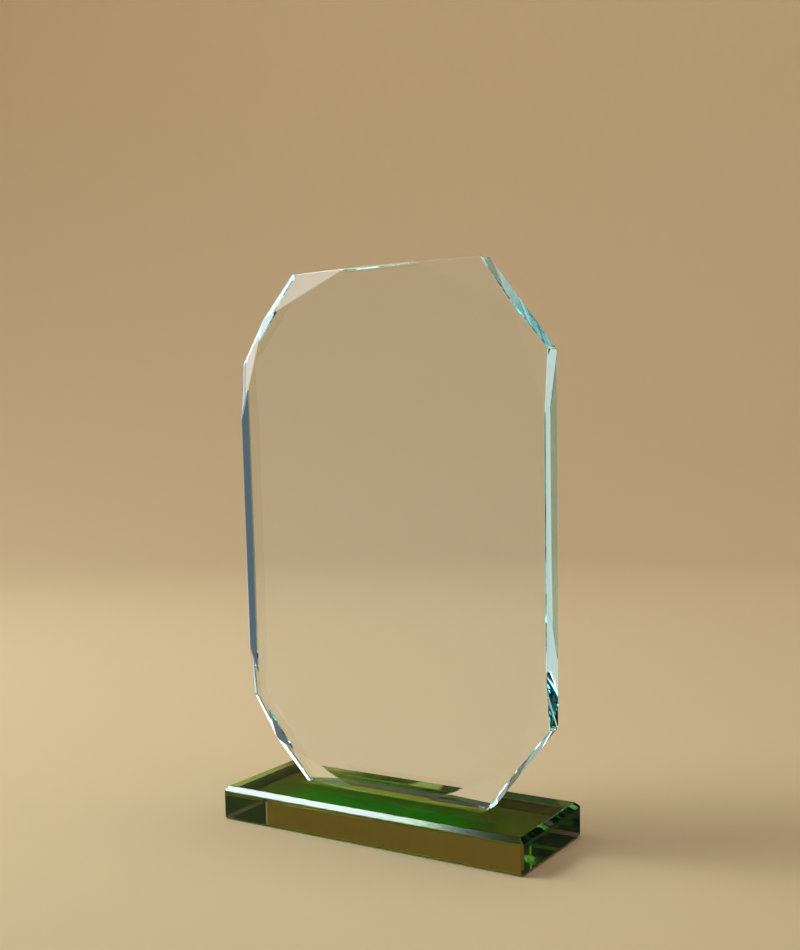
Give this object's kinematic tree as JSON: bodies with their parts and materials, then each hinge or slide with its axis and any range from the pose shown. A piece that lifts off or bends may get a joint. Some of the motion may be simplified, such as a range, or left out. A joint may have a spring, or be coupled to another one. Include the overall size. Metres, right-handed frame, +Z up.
{
  "type": "glass award plaque",
  "caption": "Upright flat clear glass plaque with cut corners and ground front facets, glued on edge to the middle of a low rectangular green glass base.",
  "frame": {"origin": "centre of the base's underside, on the surface that the award stands on", "axes": "+Z up, the plaque's height; +X along the base and across the plaque, to the right seen from the front; the plaque's faceted front faces -Y"},
  "size_m": [0.13, 0.048, 0.2082],
  "materials": {
    "clear_glass": "polished clear glass with a faint blue-green tint seen through its edges",
    "uv_glue": "cured clear ultraviolet adhesive",
    "green_glass": "polished dark green glass with bright chamfers"
  },
  "bodies": {
    "root": {"plaque": "clear_glass", "glue_film": "uv_glue", "base": "green_glass"}
  },
  "joints": []
}
